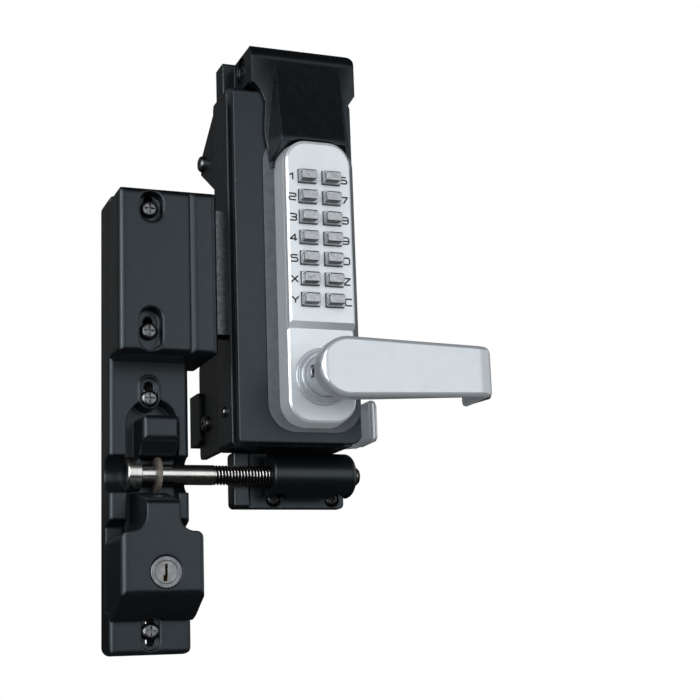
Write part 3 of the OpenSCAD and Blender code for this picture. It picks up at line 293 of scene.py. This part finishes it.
# Key block: a zinc casting in the same satin coat, screwed to the lowered part of the base from behind.
# It holds the key cylinder, a turned brass body that is nickel plated, and a plug whose
# plating ends just inside the keyway, where the bare brass shows.
plating_ends, brass_bare = 0.5 * mm, 1.2 * mm
raw_brass = (0.5, 0.38, 0.17)


def turned_metal(name, dark, light, gloss, along, tool=0.002):
    """Turned metal whose fine tool marks run round the given axis, tool millimetres deep."""
    finish = varied(name, dark, light, (5, 4), (gloss - 0.03, gloss + 0.04), (2, 3), 1, metal_contrast)
    stretch = [0.04, 0.04, 0.04]
    stretch["XYZ".index(along)] = 1
    raise_grain(finish, grain(finish, cloud(finish, 0.18, 2, stretch), tool))
    return finish


def place_in_lock(finish):
    """The node that gives each point's place in the lock's own frame."""
    return finish.node_tree.nodes["Texture Coordinate"]


def blend_in(finish, blend, socket):
    """Leads the finish's colour through one socket of this blend on its way to the shader."""
    colour = shader_of(finish).inputs["Base Color"]
    finish.node_tree.links.new(colour.links[0].from_socket, blend.inputs[socket])
    finish.node_tree.links.new(blend.outputs[mix_out], colour)


nickel_plate = turned_metal("satin_nickel", (0.1, 0.107, 0.117), (0.17, 0.18, 0.195), 0.3, along="Y")
plug_brass = turned_metal("plug_brass", (0.12, 0.123, 0.127), (0.2, 0.205, 0.21), 0.3, along="Y")
plug_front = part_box("key_plug")[0].y
depth = plug_brass.node_tree.nodes.new("ShaderNodeSeparateXYZ")
join(plug_brass, place_in_lock(plug_brass), "Object", depth, "Vector")
unplated = spread(plug_brass, depth, 0, 1, plug_front + plating_ends, plug_front + brass_bare, out="Y")
blend_in(plug_brass, tones(plug_brass, unplated, (0, 0, 0), raw_brass), mix_first)
dress("key_block", casting_coat, edge=1.6, sharp=30)
dress("key_block_screws", bolt_steel, edge=0.15)
dress("key_cylinder", nickel_plate, edge=0.3)
dress("key_plug", plug_brass, edge=0.25)


# Deadlock works in the neck: a steel crank on the plug's tail lifts the stainless plunger.
# Both are sealed inside the casting, so they stay bright.
crank_steel = plated_steel("crank_steel", (0.3, 0.3, 0.31), (0.45, 0.45, 0.46), gloss=0.34)
plunger_steel = turned_metal("plunger_stainless", (0.42, 0.42, 0.43), (0.58, 0.58, 0.59), 0.26, along="Z")
dress("key_crank", crank_steel, edge=0.3)
dress("deadlock_plunger", plunger_steel, edge=0.3)


# Locating pin: one turned stainless bar with a round head, and a cut thread of 1.95 mm pitch.
# It screws through the barrel on the gate and its head swings in behind the hook.
pin_low, pin_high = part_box("locating_pin")
pin_y, pin_z = (pin_low.y + pin_high.y) / 2, (pin_low.z + pin_high.z) / 2
pin_start, pin_end = pin_low.x, pin_high.x
pin_facets, plain_rings, pin_core = 56, 12, 0.3 * mm
head_r, head_l, shank_r = (pin_high.z - pin_low.z) / 2, 8.7 * mm, 6 * mm
thread_start, pitch, thread_depth = -56.2 * mm, 1.95 * mm, 1.1 * mm
thread_run_in, thread_crest, thread_flank = 0.8, 0.92, 0.78  # the first in pitches, the others in half pitches
in_barrel_from, in_barrel_to = -19 * mm, 30 * mm
# Turned edges, in millimetres: how far from the end of the head, its back or the pin's tip, and how deep.
head_edge = [(0, 1.1), (0.3, 0.45), (1.0, 0.02), (1.4, 0)]
head_back = [(0.8, 0), (0.3, 0.15), (0, 0.6)]
tip_edge = [(1.2, 0.8), (0.2, 1.7), (0, 2.1)]


def thread_rings(start, end):
    """Places along a cut thread, ten to a turn."""
    rings, x = [], start
    while x < end:
        rings.append((x, None))
        x += pitch / 10
    return rings


def pin_rings():
    """Places along the pin, and the radius there: a number, or None where the thread is cut."""
    rings = [(0, pin_core)]
    rings += [(inwards * mm, head_r - deep * mm) for inwards, deep in head_edge]
    rings += [(head_l - inwards * mm, head_r - deep * mm) for inwards, deep in head_back]
    rings += [(head_l, shank_r + 0.5 * mm), (head_l + 0.3 * mm, shank_r)]
    rings = [(pin_start + x, r) for x, r in rings]
    for step in range(1, plain_rings):
        rings.append((pin_start + head_l + (thread_start - pin_start - head_l) * step / plain_rings, shank_r))
    rings.append((thread_start - 0.6 * mm, shank_r))
    rings += thread_rings(thread_start, in_barrel_from)
    rings += [(in_barrel_from, shank_r - thread_depth), (in_barrel_to, shank_r - thread_depth)]
    rings += thread_rings(in_barrel_to + 0.1 * mm, pin_end - 1.3 * mm)
    rings += [(pin_end - inwards * mm, shank_r - deep * mm) for inwards, deep in tip_edge]
    rings.append((pin_end, pin_core))
    return rings


def thread_radius(x, turned):
    """The cut thread's radius at this place along the pin, this part of a turn round it."""
    phase = ((x - thread_start) / pitch - turned) % 1
    flank = abs(2 * phase - 1)
    ease = min(1, max(0, (x - thread_start) / (thread_run_in * pitch)))
    return shank_r - thread_depth * ease * min(1, max(0, (thread_crest - flank) / thread_flank))


def skin(shape, rings):
    """Closes a row of rings of corners into a tube with two ends."""
    shape.faces.new(rings[0])
    for last, ring in zip(rings, rings[1:]):
        for step in range(len(ring)):
            shape.faces.new((last[step], last[step - 1], ring[step - 1], ring[step]))
    shape.faces.new(list(reversed(rings[-1])))


def into_scene(name, shape):
    """Makes this shape a piece of the scene."""
    bmesh.ops.recalc_face_normals(shape, faces=shape.faces)
    mesh = bpy.data.meshes.new(name)
    shape.to_mesh(mesh)
    shape.free()
    piece = bpy.data.objects.new(name, mesh)
    bpy.context.scene.collection.objects.link(piece)
    return piece


pin_shape = bmesh.new()
pin_skin = []
for x, radius in pin_rings():
    ring = []
    for step in range(pin_facets):
        turn = 2 * math.pi * step / pin_facets
        r = thread_radius(x, step / pin_facets) if radius is None else radius
        ring.append(pin_shape.verts.new((x, pin_y + r * math.cos(turn), pin_z + r * math.sin(turn))))
    pin_skin.append(ring)
skin(pin_shape, pin_skin)
threaded_pin = into_scene("threaded_pin", pin_shape)
for face in threaded_pin.data.polygons:
    face.use_smooth = True
shade_evenly(threaded_pin)

# The thread's grooves are painted dark as painted shade, so the colour follows the distance from the pin's axis.
stainless = turned_metal("turned_stainless", (0.42, 0.415, 0.405), (0.5, 0.495, 0.485), 0.22, along="X", tool=0.0008)
from_middle = stainless.node_tree.nodes.new("ShaderNodeVectorMath")
from_middle.operation = "SUBTRACT"
from_middle.inputs[1].default_value = (0, pin_y, pin_z)
join(stainless, place_in_lock(stainless), "Object", from_middle, 0)
square_on = stainless.node_tree.nodes.new("ShaderNodeVectorMath")
square_on.operation = "MULTIPLY"
square_on.inputs[1].default_value = (0, 1, 1)
join(stainless, from_middle, "Vector", square_on, 0)
from_axis = stainless.node_tree.nodes.new("ShaderNodeVectorMath")
from_axis.operation = "LENGTH"
join(stainless, square_on, "Vector", from_axis, 0)
groove_shade_mask = spread(stainless, from_axis, 0, 1, shank_r - 0.75 * thread_depth, shank_r - 0.1 * thread_depth, "Value")
blend_in(stainless, tones(stainless, groove_shade_mask, (0.03, 0.028, 0.026), (1, 1, 1)), mix_second)
threaded_pin.data.materials.append(stainless)
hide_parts("locating_pin")
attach(threaded_pin, "pin")


# Pin washer: turned from cream nylon, pressed on the shank to quieten the hook.
# The plastic is waxy, with dirt in its surface, and its cream is painted dark all over as painted shade.
# Painted shade: the cream is given a dark tone, for the shade the washer sits in.
nylon = varied("cream_nylon_painted_shade", (0.1, 0.088, 0.072), (0.17, 0.152, 0.126), (2.5, 5), (0.4, 0.55), (1.2, 2))
raise_grain(nylon, grain(nylon, cloud(nylon, size=0.4, detail=3), height=0.01))
shader_of(nylon).inputs["Subsurface Weight"].default_value = 0.15
shader_of(nylon).inputs["Subsurface Scale"].default_value = 2 * mm
dress("pin_washer", nylon, edge=0.4)


# Barrel block: a zinc casting with a foot plate, screwed to the gate frame under the case.
# Its bore is tapped for the pin, and its coat is a little deeper black than the base's.
barrel_coat = black_coat("barrel_coat", (0.0026, 0.0034, 0.0046), (0.0036, 0.0046, 0.0062),
                         satin=0.32, peel=0.006, rub=0.4, flow=1.6)
dress("barrel_block", barrel_coat, edge=0.6)
dress("barrel_screws", bolt_steel, edge=0.2)


# Gate case: a cast housing with a front cover, screwed over a folded steel mounting plate.
# All three are coated black; the plate's two ears lie on the edge of the gate frame.
case_coat = black_coat("case_coat", (0.004, 0.0052, 0.007), (0.0054, 0.0068, 0.009),
                       satin=0.33, peel=0.006, rub=0.5, flow=1.8)
sheet_coat = black_coat("sheet_coat", (0.0042, 0.0048, 0.006), (0.0058, 0.0066, 0.008),
                        satin=0.4, peel=0.006, rub=0.35, flow=0.8)
dress("gate_case", case_coat, edge=1.0)
dress("case_cover", case_coat, edge=1.2, sharp=40)
dress("mounting_plate", sheet_coat, edge=0.35)
dress("flange_screws", screw_steel_painted_shade, edge=0.2)
dress("case_screw", screw_steel_painted_shade, edge=0.15)


# Hood: a die-cast weather hood that hooks over the case and keeps rain off the buttons.
# It has a deeper, glossier coat than the case, and one side screw holds it.
hood_coat = black_coat("hood_coat", (0.0016, 0.0024, 0.0034), (0.0024, 0.0034, 0.0046),
                       satin=0.29, peel=0.003, rub=0.45, flow=1.0)
dress("hood", hood_coat, edge=1.2)
dress("hood_screw", bolt_steel, edge=0.2)


# Gasket: a dark rubber pad between the cover and the keypad case, cut from sheet.
# It is matt with a fine cloth mark from the press.
rubber = varied("gasket_rubber", (0.055, 0.068, 0.08), (0.08, 0.097, 0.112), (6, 4), (0.36, 0.46), (3, 2))
raise_grain(rubber, grain(rubber, cloud(rubber, size=0.5, detail=2), height=0.01))
dress("gasket", rubber, edge=0.2)


# Keypad case: die-cast zinc under a bright silver paint with fine metal flake.
# The numbers beside the buttons are printed on it in black.
def silver_paint(name, dark, light, gloss, metal):
    """Silver paint: metal flake in a satin lacquer, with slight flow marks."""
    finish = varied(name, dark, light, (0.22, 2), (gloss - 0.02, gloss + 0.03), (7, 3), metal, metal_contrast)
    flow = grain(finish, cloud(finish, size=3, detail=1), height=0.002)
    raise_grain(finish, grain(finish, cloud(finish, size=0.25, detail=1), height=0.002, below=flow))
    return finish


keypad_silver = silver_paint("keypad_silver", (0.55, 0.595, 0.63), (0.66, 0.705, 0.74), gloss=0.36, metal=0.4)
dress("keypad_case", keypad_silver, edge=0)

pad_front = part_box("keypad_case")[0].y
button_names = "1 2 3 4 5 x y 6 7 8 9 0 z c".split()
mark_wide, mark_tall, mark_stroke, mark_drop = 4.3 * mm, 4.0 * mm, 0.95 * mm, 0.5 * mm
rounded_turn, sharp_turn, arc_steps = 0.3, 0.02, 5
print_above, print_below = 0.05 * mm, 0.02 * mm
left_buttons_end = -6 * mm
left_marks, right_marks, c_mark = -17.1 * mm, 15.9 * mm, 16.6 * mm
# Each mark is drawn in strokes inside a unit square; the number behind the strokes rounds its corners.
mark_strokes = {
    "1": (0, [[(0.12, 0.68), (0.6, 1), (0.6, 0)]]),
    "2": (1, [[(0, 1), (1, 1), (1, 0.52), (0, 0.52), (0, 0), (1, 0)]]),
    "3": (1, [[(0, 1), (1, 1), (1, 0.5), (0.3, 0.5)], [(0.6, 0.5), (1, 0.5), (1, 0), (0, 0)]]),
    "4": (0, [[(1, 0.28), (0, 0.28), (0.72, 1), (0.72, 0)]]),
    "5": (1, [[(1, 1), (0, 1), (0, 0.56), (1, 0.56), (1, 0), (0, 0)]]),
    "x": (0, [[(0, 0), (1, 1)], [(0, 1), (1, 0)]]),
    "y": (0, [[(0, 1), (0.5, 0.5), (1, 1)], [(0.5, 0.5), (0.5, 0)]]),
    "6": (1, [[(0.9, 1), (0, 1), (0, 0), (1, 0), (1, 0.56), (0.05, 0.56)]]),
    "7": (0, [[(0, 1), (1, 1), (0.4, 0)]]),
    "8": (1, [[(0.5, 1), (1, 1), (1, 0), (0, 0), (0, 1), (0.55, 1)], [(0.05, 0.52), (0.95, 0.52)]]),
    "9": (1, [[(0.1, 0), (1, 0), (1, 1), (0, 1), (0, 0.44), (0.95, 0.44)]]),
    "0": (1, [[(0.5, 1), (1, 1), (1, 0), (0, 0), (0, 1), (0.55, 1)]]),
    "z": (0, [[(0, 1), (1, 1), (0, 0), (1, 0)]]),
    "c": (1, [[(1, 1), (0, 1), (0, 0), (1, 0)]])}


def rounded_path(points, turn):
    """The points of a stroke, with each corner cut to an arc that starts this far before it."""
    path = [Vector(points[0])]
    for before, corner, after in zip(points, points[1:], points[2:]):
        before, corner, after = Vector(before), Vector(corner), Vector(after)
        into, away = before - corner, after - corner
        start = corner + into * min(0.5, turn / into.length)
        end = corner + away * min(0.5, turn / away.length)
        for step in range(arc_steps + 1):
            s = step / arc_steps
            path.append((1 - s) ** 2 * start + 2 * s * (1 - s) * corner + s ** 2 * end)
    path.append(Vector(points[-1]))
    return path


def print_stroke(marks, path, left, low):
    """Adds one stroke of print: a thin closed strip that stands just off the case."""
    rings = []
    for place, point in enumerate(path):
        ahead = path[min(place + 1, len(path) - 1)] - path[max(place - 1, 0)]
        across = Vector((-ahead.y * mark_tall, ahead.x * mark_wide)).normalized() * mark_stroke / 2
        x, z = left + point.x * mark_wide, low + point.y * mark_tall
        rings.append([marks.verts.new((x + s * across.x, pad_front - out, z + s * across.y))
                      for s, out in ((1, print_above), (-1, print_above), (-1, -print_below), (1, -print_below))])
    skin(marks, rings)


marks = bmesh.new()
for button in button_names:
    button_low, button_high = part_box("button_" + button)
    row = (button_low.z + button_high.z) / 2
    mark_x = left_marks if button_low.x < left_buttons_end else c_mark if button == "c" else right_marks
    rounded, strokes = mark_strokes[button]
    for points in strokes:
        path = rounded_path(points, rounded_turn if rounded else sharp_turn)
        print_stroke(marks, path, mark_x - mark_wide / 2, row - mark_drop - mark_tall / 2)
key_numbers = into_scene("key_numbers", marks)
print_black = varied("number_print", (0.012, 0.012, 0.014), (0.03, 0.031, 0.034), (0.5, 3), (0.45, 0.6), (0.8, 2))
key_numbers.data.materials.append(print_black)
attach(key_numbers, "lock")


# Buttons: die-cast caps with a satin nickel plate, each on its own stem and spring.
# The springs press the stems out of the brass code chamber, which is sealed in the keypad case.
button_nickel = plated_steel("button_nickel", (0.25, 0.265, 0.28), (0.33, 0.348, 0.365), gloss=0.33)
chamber_brass = plated_steel("chamber_brass", (0.4, 0.3, 0.13), (0.55, 0.43, 0.2), gloss=0.38)
spring_steel = plated_steel("spring_steel", (0.4, 0.4, 0.41), (0.55, 0.55, 0.56), gloss=0.28)
for button in button_names:
    dress("button_" + button, button_nickel, edge=0.9)
dress("code_chamber", chamber_brass, edge=0.3)
dress("button_springs", spring_steel, edge=0.1)


# Lever and collar: die-cast zinc in the same silver paint, with a grub screw in the lever's neck.
# The lever's shaft carries the clutch cam inside the keypad case.
lever_edge = 2.4
lever_silver = silver_paint("lever_silver", (0.44, 0.48, 0.515), (0.5, 0.54, 0.575), gloss=0.32, metal=0.5)
cam_zinc = plated_steel("cam_zinc", (0.35, 0.355, 0.36), (0.5, 0.505, 0.51), gloss=0.42)
dress("lever_collar", lever_silver, edge=0.25)
dress("front_lever", lever_silver, lever_edge, full=True)
dress("front_lever_screw", bolt_steel, edge=0.1)
dress("clutch_cam", cam_zinc, edge=0.3)


# Latch works: a zinc-plated bolt between two guide bars, moved by a hub on the square spindle.
# Coil springs push the bolt out and bring the lever back.
# Painted shade: the bolt's zinc plate is given a dark tone, for the shade it sits in between the strike and the
# case.
painted_shade_bolt_zinc = plated_steel("painted_shade_latch_zinc", (0.07, 0.073, 0.08), (0.115, 0.119, 0.127), gloss=0.34)
dress("spindle", crank_steel, edge=0.3)
dress("latch_hub", cam_zinc, edge=0.3)
dress("latch_bolt", painted_shade_bolt_zinc, edge=0.5)
dress("bolt_guides", crank_steel, edge=0.3)
dress("latch_spring", spring_steel, edge=0.15)
dress("lever_spring", spring_steel, edge=0.2)


# Rear half: a coated steel backplate, a silver plate and a second lever, drawn up by two bolts.
# The bolts pass through the gate frame into the keypad case.
dress("rear_backplate", sheet_coat, edge=0.5)
dress("rear_plate", keypad_silver, edge=0)
dress("rear_collar", lever_silver, edge=0.25)
dress("rear_lever", lever_silver, lever_edge, full=True)
dress("rear_lever_screw", bolt_steel, edge=0.1)
dress("through_bolts", screw_steel_painted_shade, edge=0.2)


# Studio: a pale floor below the lock, with soft lights at the left, right, above and behind.
# All is white as far as camera and metal see. Cards that only reflections see, dark ones above, below
# and behind and a bright strip at the left, keep the coat's faces apart.
floor_half, floor_z = 1.4, -0.34
floor_corners = [(-floor_half, -floor_half, floor_z), (floor_half, -floor_half, floor_z),
                 (floor_half, floor_half, floor_z), (-floor_half, floor_half, floor_z)]
white_on_surfaces, white_in_mirrors = 0.55, 1.0
# Each card's four corners, and how bright it is.
cards = {
    "card_behind": ([(-3.6, 1.0, 0.03), (2.2, 1.0, 0.03), (2.2, 1.0, 1.2), (-3.6, 1.0, 1.2)], 0.09),
    "card_low_behind": ([(-2.2, 1.0, -0.6), (2.2, 1.0, -0.6), (2.2, 1.0, 0.03), (-2.2, 1.0, 0.03)], 0.015),
    "card_below": ([(-2.2, -1.6, -0.33), (2.2, -1.6, -0.33), (2.2, 1.0, -0.33), (-2.2, 1.0, -0.33)], 0.02),
    "bright_strip": ([(-1.55, -0.75, -0.3), (-1.3, -1.05, -0.3), (-1.3, -1.05, 1.0), (-1.55, -0.75, 1.0)], 13.0),
    "card_above": ([(-2.2, -1.6, 1.1), (2.2, -1.6, 1.1), (2.2, 1.0, 1.2), (-2.2, 1.0, 1.2)], 0.03)}


def flat_sheet(name, corners):
    """A sheet with four corners that belongs to the studio."""
    mesh = bpy.data.meshes.new(name)
    mesh.from_pydata(corners, [], [(0, 1, 2, 3)])
    sheet = bpy.data.objects.new(name, mesh)
    bpy.context.scene.collection.objects.link(sheet)
    return sheet


floor = flat_sheet("studio_floor", floor_corners)
floor_paint = new_finish("floor_paint")
shader_of(floor_paint).inputs["Roughness"].default_value = 0.7
floor_patches = spread(floor_paint, cloud(floor_paint, size=90, detail=3), low=0, high=1)
floor_tone = tones(floor_paint, floor_patches, (0.78, 0.78, 0.78), (0.82, 0.82, 0.82))
join(floor_paint, floor_tone, mix_out, shader_of(floor_paint), "Base Color")
floor.data.materials.append(floor_paint)

for name, (corners, brightness) in cards.items():
    card = flat_sheet(name, corners)
    paper = new_finish(name)
    glow = paper.node_tree.nodes.new("ShaderNodeEmission")
    glow.inputs["Color"].default_value = (brightness, brightness, brightness, 1)
    join(paper, glow, 0, paper.node_tree.nodes["Material Output"], "Surface")
    card.data.materials.append(paper)
    card.visible_camera = False
    card.visible_diffuse = False
    card.visible_transmission = False
    card.visible_shadow = False

for name, place, target, wide, high, watts, mirrored in [
        ("soft_light_left", (-0.75, -1.2, 0.1), (0, 0, 0), 0.3, 1.3, 6.0, True),
        ("soft_light_right", (0.6, -1.5, 0.2), (0, 0, 0.1), 0.9, 1.1, 3.0, True),
        ("soft_light_above", (-0.35, -0.9, 1.1), (0, 0, 0), 1.0, 1.0, 3.0, False),
        ("soft_light_back", (0.4, 1.4, 0.5), (0, 0, 0), 1.0, 1.0, 6.0, False)]:
    light = bpy.data.lights.new(name, "AREA")
    light.shape = "RECTANGLE"
    light.size = wide
    light.size_y = high
    light.energy = watts
    lamp = bpy.data.objects.new(name, light)
    lamp.visible_glossy = mirrored
    lamp.location = place
    lamp.rotation_euler = (Vector(target) - Vector(place)).to_track_quat("-Z", "Y").to_euler()
    bpy.context.scene.collection.objects.link(lamp)

sky = bpy.data.worlds.new("studio_white")
sky.use_nodes = True
bpy.context.scene.world = sky
sky_nodes = sky.node_tree.nodes
ray = sky_nodes.new("ShaderNodeLightPath")
seen = sky_nodes.new("ShaderNodeMath")
seen.operation = "MAXIMUM"
join(sky, ray, "Is Camera Ray", seen, 0)
join(sky, ray, "Is Glossy Ray", seen, 1)
seen_through = sky_nodes.new("ShaderNodeMath")
seen_through.operation = "MAXIMUM"
join(sky, seen, 0, seen_through, 0)
join(sky, ray, "Is Transmission Ray", seen_through, 1)
whiteness = spread(sky, seen_through, white_on_surfaces, white_in_mirrors, start=0, end=1)
join(sky, whiteness, "Result", sky_nodes["Background"], "Strength")
sky_nodes["Background"].inputs["Color"].default_value = (1, 1, 1, 1)
bpy.context.scene.view_settings.view_transform = "Standard"
